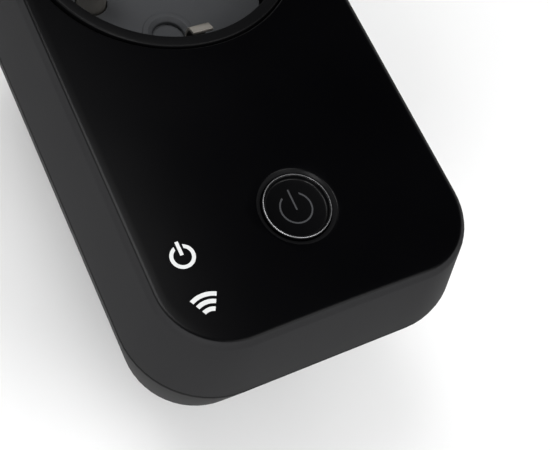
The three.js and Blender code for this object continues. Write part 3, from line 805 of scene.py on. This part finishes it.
boss = turned("plug_boss_moulding", [
    (0, 0), (BOSS_RADIUS, 0, 0.8 * MM), (BOSS_RADIUS, boss_flange_low),
    (BOSS_FLANGE, boss_flange_low, 0.2 * MM), (BOSS_FLANGE, boss_high, 0.2 * MM),
    (BOSS_BORE, boss_high, 0.2 * MM), (BOSS_BORE, BOSS_END, 0.5 * MM), (0, BOSS_END),
], segments=144, steps=6)
for side in (-1, 1):
    bore_boss(PIN_BORE, 0, side * PIN_SPREAD)
    ends = sorted((side * NOTCH_X, side * 30 * MM))
    notch = rounded_block(
        "notch", (ends[0], -NOTCH_HALF, -2 * MM), (ends[1], NOTCH_HALF, 24 * MM), 0, 0.6 * MM,
    )
    cut(boss, notch)
bore_boss(SLEEVE_BORE, EARTH_X, 0)
place(boss, "housing", "plug_boss", "plug_boss")

# %% [markdown]
# ## Screws
#
# Four pan-head screws close the housing from behind. The cross recess is two tapered blades cut
# into the head.

# %% Housing screws
HEAD_RADIUS = 2.5 * MM
THREAD_RADIUS = 1.3 * MM
BLADE_LENGTH = 1.5 * MM
BLADE_HALF = 0.3 * MM
for node, (x, y) in zip(screw_nodes, screw_places):
    low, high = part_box(node)
    head_top = low.z + 2 * MM
    screw = turned(node + "_turned", [
        (0, low.z), (HEAD_RADIUS, low.z, 0.9 * MM), (HEAD_RADIUS, head_top, 0.15 * MM),
        (THREAD_RADIUS, head_top), (THREAD_RADIUS, high.z - 1.2 * MM), (0.3 * MM, high.z),
        (0, high.z),
    ], x, y, segments=40)
    for angle in (math.pi / 4, -math.pi / 4):
        blade = rounded_block(
            "blade", (-BLADE_LENGTH, -BLADE_HALF, low.z - MM),
            (BLADE_LENGTH, BLADE_HALF, low.z + 1.3 * MM), 0,
        )
        turn = Matrix.Translation((x, y, 0)) @ Matrix.Rotation(angle, 4, "Z")
        blade.data.transform(turn)
        cut(screw, blade)
    place(screw, "housing", "screw_steel", node)

# %% [markdown]
# ## How the finishes are made
#
# A finish starts from what the material is and how its surface was made. Colours are given as
# sRGB hex values, the way a paint chip is read, and turned to linear light once. Patterns are
# sized in real millimetres on Object coordinates, so they neither stretch nor slide. One small
# function adds a node with its settings and its links.


# %% Colour and node helpers
def linear(hex_colour):
    """An sRGB hex colour as linear red, green, blue and alpha."""
    channels = [int(hex_colour[start:start + 2], 16) / 255 for start in (1, 3, 5)]
    return [c / 12.92 if c <= 0.04045 else ((c + 0.055) / 1.055) ** 2.4 for c in channels] + [1]


def add(tree, kind, inputs=None, **settings):
    """Adds a node. settings are its own values, inputs its sockets' values or incoming links."""
    made = tree.nodes.new(kind)
    for name, value in settings.items():
        setattr(made, name, value)
    for name, value in (inputs or {}).items():
        if isinstance(value, bpy.types.NodeSocket):
            tree.links.new(value, made.inputs[name])
        else:
            made.inputs[name].default_value = value
    return made


def new_finish(name, colour, roughness, metallic=0.0, ior=None, specular=None):
    """A material with one shader. Returns the material, its tree, shader and coordinates."""
    material = bpy.data.materials.new(name)
    material.use_nodes = True
    tree = material.node_tree
    shader = tree.nodes["Principled BSDF"]
    shader.inputs["Base Color"].default_value = linear(colour)
    shader.inputs["Roughness"].default_value = roughness
    shader.inputs["Metallic"].default_value = metallic
    if ior is not None:
        shader.inputs["IOR"].default_value = ior
    if specular is not None:
        shader.inputs["Specular IOR Level"].default_value = specular
    coordinates = add(tree, "ShaderNodeTexCoord").outputs["Object"]
    return material, tree, shader, coordinates


def per_metre(millimetres):
    """Texture scale whose pattern repeats about every so many millimetres."""
    return 1000 / millimetres


def noise(tree, place_on, millimetres, detail=2.0, **more):
    """A soft random pattern from 0 to 1, whose blotches are about so many millimetres wide."""
    inputs = {"Vector": place_on, "Scale": per_metre(millimetres), "Detail": detail, **more}
    return add(tree, "ShaderNodeTexNoise", inputs).outputs["Fac"]


def stretch(tree, place_on, scale):
    """Coordinates that squeeze a pattern along the axes whose scale is high."""
    return add(tree, "ShaderNodeMapping", {"Vector": place_on, "Scale": scale}).outputs["Vector"]


def craters(tree, place_on, millimetres):
    """The rounded pits that spark erosion leaves in a mould."""
    return add(tree, "ShaderNodeTexVoronoi", {
        "Vector": place_on, "Scale": per_metre(millimetres),
    }, feature="SMOOTH_F1").outputs["Distance"]


def roughen(tree, source, shader, low, high):
    """Lets a 0 to 1 value move the shader's roughness between low and high."""
    spread = add(tree, "ShaderNodeMapRange", {"Value": source, "To Min": low, "To Max": high})
    tree.links.new(spread.outputs["Result"], shader.inputs["Roughness"])


def tint(tree, source, shader, first, second):
    """Mixes two colours by a 0 to 1 value and gives the shader the result."""
    mix = add(tree, "ShaderNodeMix", {0: source}, data_type="RGBA")
    mix.inputs[6].default_value = linear(first)
    mix.inputs[7].default_value = linear(second)
    tree.links.new(mix.outputs[2], shader.inputs["Base Color"])


def emboss(tree, source, shader, height_mm, strength=1.0):
    """Raises a bump of a real height from a 0 to 1 value."""
    bump = add(
        tree, "ShaderNodeBump", {"Height": source, "Strength": strength, "Distance": height_mm * MM},
    )
    tree.links.new(bump.outputs["Normal"], shader.inputs["Normal"])


# %% [markdown]
# ## Front shell: lacquered face, eroded sides
#
# The shell is one ABS moulding with two finishes. The face has a smooth black lacquer that drinks
# light, with broad faint patches from handling. Below the fillet the mould is spark-eroded, and the
# sides' dark grey base colour is painted light that stands in for the floor and lamps the black sides
# reflect. The depth below the crowned face tells the two apart. The dish round the button gets a
# quarter of that painted grey.

# %% Lacquered and eroded ABS
def lacquered_abs():
    material, tree, shader, place_on = new_finish(
        "lacquered_abs", "#020203", 0.28, ior=1.4, specular=0.12,
    )
    height = add(tree, "ShaderNodeSeparateXYZ", {"Vector": place_on}).outputs["Z"]
    across = add(tree, "ShaderNodeSeparateXYZ", {"Vector": place_on}).outputs["X"]
    fall = add(tree, "ShaderNodeMath", {0: across, 1: 2.0}, operation="POWER").outputs["Value"]
    level = add(tree, "ShaderNodeMath", {
        0: fall, 1: 1 / (2 * crown_radius), 2: height,
    }, operation="MULTIPLY_ADD").outputs["Value"]
    above = add(tree, "ShaderNodeMapRange", {
        "Value": level, "From Min": face_z - 0.15 * MM, "From Max": face_z - 0.07 * MM,
    }, interpolation_type="SMOOTHSTEP").outputs["Result"]
    reach = add(tree, "ShaderNodeVectorMath", {
        0: place_on, 1: (0, button_y, face_z),
    }, operation="DISTANCE").outputs["Value"]
    # Near the button the dish takes a quarter of the sides' painted grey.
    dish = add(tree, "ShaderNodeMapRange", {
        "Value": reach, "From Min": 6.2 * MM, "From Max": 6.5 * MM, "To Min": 0.75, "To Max": 0.0,
    }).outputs["Result"]
    face = add(tree, "ShaderNodeMath", {0: above, 1: dish}, operation="MAXIMUM").outputs["Value"]
    patches = noise(tree, place_on, 22, 2.0, Roughness=0.55)
    pits = craters(tree, place_on, 0.4)
    painted_side_grey_and_face_black = []
    # The first pair is the sides' painted grey, which stands in for reflected light on black plastic;
    # the second is the face's black. Within each pair the handling patches vary the tone.
    for dark, light in (("#29292a", "#2e2e2f"), ("#010102", "#030304")):
        mix = add(tree, "ShaderNodeMix", {0: patches}, data_type="RGBA")
        mix.inputs[6].default_value = linear(dark)
        mix.inputs[7].default_value = linear(light)
        painted_side_grey_and_face_black.append(mix.outputs[2])
    colour = add(tree, "ShaderNodeMix", {0: face, 6: painted_side_grey_and_face_black[0], 7: painted_side_grey_and_face_black[1]}, data_type="RGBA")
    tree.links.new(colour.outputs[2], shader.inputs["Base Color"])
    smooth_skin = add(tree, "ShaderNodeMapRange", {
        "Value": patches, "To Min": 0.26, "To Max": 0.31,
    }).outputs["Result"]
    gloss = add(tree, "ShaderNodeMix", {0: face, 2: 0.6, 3: smooth_skin}, data_type="FLOAT")
    tree.links.new(gloss.outputs[0], shader.inputs["Roughness"])
    sheen = add(tree, "ShaderNodeMapRange", {"Value": face, "To Min": 0.06, "To Max": 0.2})
    tree.links.new(sheen.outputs["Result"], shader.inputs["Specular IOR Level"])
    depth = add(tree, "ShaderNodeMix", {0: face, 2: pits, 3: 0.0}, data_type="FLOAT")
    emboss(tree, depth.outputs[0], shader, 0.01, 0.5)
    return material


# %% [markdown]
# ## Spark-eroded ABS
#
# The back cover and the plug boss are uncoated. Their mould is spark-eroded, which leaves small
# rounded craters about 0.2 mm across, drawn at 0.4 mm so that they show.

# %% Spark-eroded ABS
def eroded_abs():
    # The dark grey base colour is painted light that stands in for the reflections on the black
    # plastic; the flow tint, craters and roughness are its own.
    material, tree, shader, place_on = new_finish("eroded_abs", "#262626", 0.6, ior=1.4, specular=0.08)
    emboss(tree, craters(tree, place_on, 0.4), shader, 0.012, 0.6)
    flow = noise(tree, place_on, 14, 3.0)
    roughen(tree, flow, shader, 0.55, 0.66)
    tint(tree, flow, shader, "#232324", "#292929")
    return material


# %% [markdown]
# ## Satin PBT
#
# Sockets are moulded in a heat-resistant polyester. It leaves the mould with a satin skin and
# faint flow lines. It is used twice: black for the collar, grey for the floor and the shutter.

# %% Satin PBT
def satin_pbt(name, dark, light):
    material, tree, shader, place_on = new_finish(name, dark, 0.45, ior=1.5, specular=0.15)
    flow = noise(tree, place_on, 9, 4.0, Distortion=1.2)
    roughen(tree, flow, shader, 0.4, 0.5)
    tint(tree, flow, shader, dark, light)
    grain = noise(tree, place_on, 0.3, 2.0)
    emboss(tree, grain, shader, 0.004, 0.4)
    return material


# %% [markdown]
# ## Button ABS
#
# The button comes from a smoother mould than the sides. Fingertips have worn its gloss down to a
# satin, with faint long ripples and a few hairline scratches.

# %% Button ABS
def gloss_abs():
    material, tree, shader, place_on = new_finish("gloss_abs", "#020203", 0.3, ior=1.5, specular=0.25)
    scratches = noise(tree, stretch(tree, place_on, (1, 9, 1)), 1.6, 6.0, Roughness=0.7)
    roughen(tree, scratches, shader, 0.27, 0.35)
    emboss(tree, scratches, shader, 0.002, 0.3)
    return material


# %% [markdown]
# ## Foil on the button's lip
#
# The foil is hot-stamped dark chrome: a metal colour well below white, with the slight
# unevenness that stamping leaves.

# %% Dark chrome foil
def dark_foil():
    material, tree, shader, place_on = new_finish("dark_foil", "#a4a4a6", 0.38, metallic=1.0)
    press = noise(tree, place_on, 2.5, 3.0)
    roughen(tree, press, shader, 0.32, 0.45)
    tint(tree, press, shader, "#9c9c9e", "#acacae")
    return material


# %% [markdown]
# ## White print and light windows
#
# The two windows are milky polycarbonate seen through openings in the lacquer, so they are a
# soft white with a slight glow of light inside the plastic. The line on the button is a thin
# grey ink.

# %% Milky polycarbonate and grey ink
def milky_polycarbonate():
    material, tree, shader, place_on = new_finish("milky_polycarbonate", "#d2d3d3", 0.35, ior=1.58)
    shader.inputs["Subsurface Weight"].default_value = 0.15
    shader.inputs["Subsurface Radius"].default_value = (0.4 * MM, 0.4 * MM, 0.4 * MM)
    cloud = noise(tree, place_on, 1.2)
    tint(tree, cloud, shader, "#cdcece", "#d8d9d9")
    return material


def grey_ink():
    material, tree, shader, place_on = new_finish("grey_ink", "#333436", 0.5, ior=1.5)
    dots = noise(tree, place_on, 0.12)
    tint(tree, dots, shader, "#303134", "#38393b")
    return material


# %% [markdown]
# ## Nickel plate
#
# Nickel over turned or stamped brass is a warm, bright silver. Turning leaves fine rings round a
# pin, drawn 0.15 mm apart, and handling leaves soft smears in the gloss.

# %% Nickel plate
def nickel_plate():
    material, tree, shader, place_on = new_finish("nickel_plate", "#cdc8bf", 0.2, metallic=1.0)
    rings = add(tree, "ShaderNodeTexWave", {
        "Vector": place_on, "Scale": per_metre(0.15) / 6.3, "Distortion": 1.5, "Detail": 2.0,
    }, bands_direction="Z").outputs["Fac"]
    emboss(tree, rings, shader, 0.001, 0.35)
    smears = noise(tree, place_on, 4, 4.0)
    roughen(tree, smears, shader, 0.4, 0.52)
    tint(tree, smears, shader, "#c6c0b6", "#d5d0c8")
    return material


# %% [markdown]
# ## Rolled brass
#
# Contacts and bus bars are stamped from rolled strip: fine lines along the rolling direction and
# a patchy brown tarnish where it has been handled.

# %% Rolled brass
def rolled_brass():
    material, tree, shader, place_on = new_finish("rolled_brass", "#c9a458", 0.28, metallic=1.0)
    lines = noise(tree, stretch(tree, place_on, (12, 1, 1)), 2, 5.0)
    emboss(tree, lines, shader, 0.002, 0.4)
    tarnish = noise(tree, place_on, 5, 5.0)
    tint(tree, tarnish, shader, "#a9803f", "#d6b269")
    roughen(tree, tarnish, shader, 0.38, 0.22)
    return material


# %% [markdown]
# ## Drawn and plated steel
#
# Springs are drawn wire, with lines along the wire, and the screws are zinc-plated, which gives
# a bluish grey with a soft crystalline mottle.

# %% Steel finishes
def spring_wire():
    material, tree, shader, place_on = new_finish("spring_wire", "#9ea1a6", 0.3, metallic=1.0)
    draw_lines = noise(tree, place_on, 0.25, 3.0)
    roughen(tree, draw_lines, shader, 0.22, 0.4)
    return material


def zinc_plate():
    material, tree, shader, place_on = new_finish("zinc_plate", "#8d9298", 0.36, metallic=1.0)
    mottle = add(tree, "ShaderNodeTexVoronoi", {
        "Vector": place_on, "Scale": per_metre(0.7),
    }).outputs["Distance"]
    roughen(tree, mottle, shader, 0.28, 0.5)
    tint(tree, mottle, shader, "#7e848b", "#9ca1a7")
    return material


def stamped_tinplate():
    material, tree, shader, place_on = new_finish("stamped_tinplate", "#b9bbbd", 0.3, metallic=1.0)
    brushed = noise(tree, stretch(tree, place_on, (14, 1, 1)), 1.5, 5.0)
    roughen(tree, brushed, shader, 0.22, 0.42)
    emboss(tree, brushed, shader, 0.002, 0.3)
    return material


# %% [markdown]
# ## Mouldings inside the housing
#
# The carrier is a mineral-filled thermoset: off-white, matt and slightly speckled. The relay and
# the surge disc are blue, the capacitor has a shrunk sleeve with a pale stripe, and the label
# blank is a satin polyester film.

# %% Inner mouldings
def speckled(name, first, second, roughness, grain_mm):
    """A filled plastic: two near colours in fine speckles, with a little relief."""
    material, tree, shader, place_on = new_finish(name, first, roughness, ior=1.55)
    speckle = noise(tree, place_on, grain_mm, 4.0, Roughness=0.65)
    tint(tree, speckle, shader, first, second)
    roughen(tree, speckle, shader, roughness - 0.06, roughness + 0.06)
    emboss(tree, speckle, shader, 0.006, 0.4)
    return material


def solder_mask():
    """Green lacquer over glass-fibre board: tracks show as paler green bands under it."""
    material, tree, shader, place_on = new_finish("solder_mask", "#1c5734", 0.32, ior=1.5)
    tracks = add(tree, "ShaderNodeTexBrick", {
        "Vector": place_on, "Scale": per_metre(1), "Mortar Size": 0.28, "Mortar Smooth": 0.1,
        "Brick Width": 4.4, "Row Height": 2.2, "Color1": (0, 0, 0, 1), "Color2": (0, 0, 0, 1),
        "Mortar": (1, 1, 1, 1),
    }).outputs["Color"]
    tint(tree, tracks, shader, "#17492c", "#2f7a45")
    emboss(tree, tracks, shader, 0.03, 0.6)
    return material


def capacitor_sleeve():
    """A dark shrink sleeve with a pale stripe down the side of its negative lead."""
    material, tree, shader, place_on = new_finish("capacitor_sleeve", "#1d2433", 0.28, ior=1.5)
    x_place = add(tree, "ShaderNodeSeparateXYZ", {"Vector": place_on}).outputs["X"]
    low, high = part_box("capacitor")
    stripe = add(tree, "ShaderNodeMath", {
        0: x_place, 1: low.x + 0.12 * (high.x - low.x),
    }, operation="LESS_THAN").outputs["Value"]
    tint(tree, stripe, shader, "#1d2433", "#b8bcc4")
    return material


def clear_epoxy(name, colour, transmission):
    """Cast resin, slightly milky, for the lights, their guides and the fuse's glass."""
    material, tree, shader, place_on = new_finish(name, colour, 0.12, ior=1.5)
    shader.inputs["Transmission Weight"].default_value = transmission
    haze = noise(tree, place_on, 1.5)
    roughen(tree, haze, shader, 0.08, 0.2)
    return material


# %% [markdown]
# ## Finishes on the pieces
#
# Each finish is made once and shared by all pieces of that material. The pieces that are not
# modelled again are the frame's own, and they get their finish here too.

# %% Every piece gets its finish
finishes = {
    lacquered_abs(): ["front_shell_moulding"],
    eroded_abs(): ["back_cover_moulding", "plug_boss_moulding"],
    satin_pbt("black_satin_pbt", "#030304", "#060607"): ["socket_collar_moulding"],
    satin_pbt("grey_satin_pbt", "#3c3d3f", "#434446"): ["socket_floor_moulding", "shutter_rotor"],
    gloss_abs(): ["button_cap_gloss"],
    dark_foil(): ["button_edge_ring"],
    milky_polycarbonate(): ["power_window", "wifi_window"],
    grey_ink(): ["button_symbol"],
    nickel_plate(): [
        "earth_pin_turned", "plug_pin_lower_turned", "plug_pin_upper_turned",
        "earth_tongue_lower_bent", "earth_tongue_upper_bent", "plug_earth_clip_left_bent",
        "plug_earth_clip_right_bent",
    ],
    rolled_brass(): [
        "plug_earth_sleeve", "earth_ring", "contact_sleeve_lower", "contact_sleeve_upper",
        "bus_bar_lower", "bus_bar_upper",
    ],
    spring_wire(): ["shutter_spring", "button_spring"],
    zinc_plate(): [name + "_turned" for name in screw_nodes],
    stamped_tinplate(): ["switch_body", "wifi_module"],
    speckled("filled_thermoset", "#dad7ce", "#c8c4b8", 0.6, 0.5): [
        "contact_carrier", "board_link", "switch_plunger", "transformer",
    ],
    speckled("blue_relay_plastic", "#2457a0", "#2b63b2", 0.38, 0.6): ["relay"],
    speckled("surge_disc_epoxy", "#1f4f96", "#2a66b8", 0.3, 0.8): ["varistor"],
    speckled("satin_polyester_film", "#8b8d91", "#96989c", 0.42, 0.4): ["rating_plate_blank"],
    solder_mask(): ["main_board", "control_board"],
    capacitor_sleeve(): ["capacitor"],
    clear_epoxy("clear_polycarbonate", "#f4f6f6", 0.8): ["power_light_guide", "wifi_light_guide"],
    clear_epoxy("light_epoxy", "#eef2ea", 0.6): ["power_led", "wifi_led"],
    clear_epoxy("fuse_glass", "#e6ecea", 0.7): ["fuse"],
}
for material, names in finishes.items():
    for name in names:
        mesh = bpy.data.objects[name].data
        mesh.materials.clear()
        mesh.materials.append(material)
print("finishes:", len(finishes), "on", sum(len(names) for names in finishes.values()), "pieces")

# %% [markdown]
# ## Floor
#
# The plug stands face up on the tips of its pins, over a wide sheet of pale, even paper.

# %% Floor
floor_z = cad_box[0].z
bm = bmesh.new()
bmesh.ops.create_grid(bm, x_segments=2, y_segments=2, size=3)
bmesh.ops.translate(bm, vec=(0, 0, floor_z), verts=bm.verts)
floor = finish_mesh(bm, "floor")
paper, paper_tree, paper_shader, paper_place = new_finish("pale_paper", "#f4f4f4", 0.8)
fibres = noise(paper_tree, paper_place, 40)
tint(paper_tree, fibres, paper_shader, "#f2f2f2", "#f6f6f6")
floor.data.materials.append(paper)

# %% [markdown]
# ## Light
#
# Four square lights stand round the plug. The key light is high on the far left, where the
# lacquered face mirrors it as a soft glow along its left edge. The left and front lights are
# lower and shade the matte sides. The wide light overhead only fills the floor and the recess,
# so it is kept out of mirror images. The room is bright near the floor and dark above, so that
# the face stays black.


# %% Lights
def soft_light(name, spot, target, size, watts):
    """A square area light at a spot, aimed at a target."""
    data = bpy.data.lights.new(name, "AREA")
    data.size = size
    data.energy = watts
    lamp = bpy.data.objects.new(name, data)
    lamp.location = spot
    lamp.rotation_euler = (Vector(target) - Vector(spot)).to_track_quat("-Z", "Y").to_euler()
    bpy.context.scene.collection.objects.link(lamp)
    return lamp


def toward(azimuth, elevation, distance):
    """A spot so many metres from the middle of the plug, by compass angle from +X and height."""
    turn = math.radians(azimuth)
    rise = math.radians(elevation)
    flat = math.cos(rise)
    return middle + distance * Vector(
        (flat * math.cos(turn), flat * math.sin(turn), math.sin(rise)))


LIGHT_DISTANCE = 0.9
middle = Vector((0, button_y / 2, face_z))
soft_light("key_light", toward(122, 68, LIGHT_DISTANCE), middle, 0.35, 2.8)
soft_light("left_light", toward(220, 38, LIGHT_DISTANCE), middle, 0.35, 4)
soft_light("front_light", toward(305, 55, LIGHT_DISTANCE), middle, 0.5, 2.8)
top = soft_light("top_fill", toward(0, 90, LIGHT_DISTANCE), middle, 0.8, 4)
top.visible_glossy = False

world = bpy.data.worlds.new("room")
bpy.context.scene.world = world
world.use_nodes = True
backdrop = world.node_tree.nodes["Background"]
backdrop.inputs["Color"].default_value = linear("#ffffff")
height = add(world.node_tree, "ShaderNodeSeparateXYZ", {
    "Vector": add(world.node_tree, "ShaderNodeTexCoord").outputs["Generated"],
}).outputs["Z"]
fade = add(world.node_tree, "ShaderNodeMapRange", {
    "Value": height, "From Min": 0.2, "From Max": 0.55, "To Min": 0.6, "To Max": 0.0,
}, interpolation_type="SMOOTHSTEP")
world.node_tree.links.new(fade.outputs["Result"], backdrop.inputs["Strength"])

# %% [markdown]
# ## Camera
#
# The camera looks down at about sixty degrees from the button's left, with a long lens. It is
# rolled so that the plug runs from the upper left to the lower right.

# %% Camera
CAMERA_OFFSET = Vector((-62.6, -48.8, 135.2)) * MM
TARGET_OFFSET = Vector((-4.46, -1.68, 0)) * MM
ROLL = math.radians(28.46)
button_centre = Vector((0, button_y, face_z))
camera = bpy.data.objects.new("camera", bpy.data.cameras.new("camera"))
camera.data.lens = 72
camera.data.sensor_width = 36
camera.data.clip_start = 0.005
camera.location = button_centre + CAMERA_OFFSET
aim = (button_centre + TARGET_OFFSET - camera.location).to_track_quat("-Z", "Y")
camera.rotation_euler = (aim.to_matrix() @ Matrix.Rotation(ROLL, 3, "Z")).to_euler()
bpy.context.scene.collection.objects.link(camera)
bpy.context.scene.camera = camera
bpy.context.scene.view_settings.view_transform = "Standard"
print("camera", round(CAMERA_OFFSET.length / MM), "mm from the button")
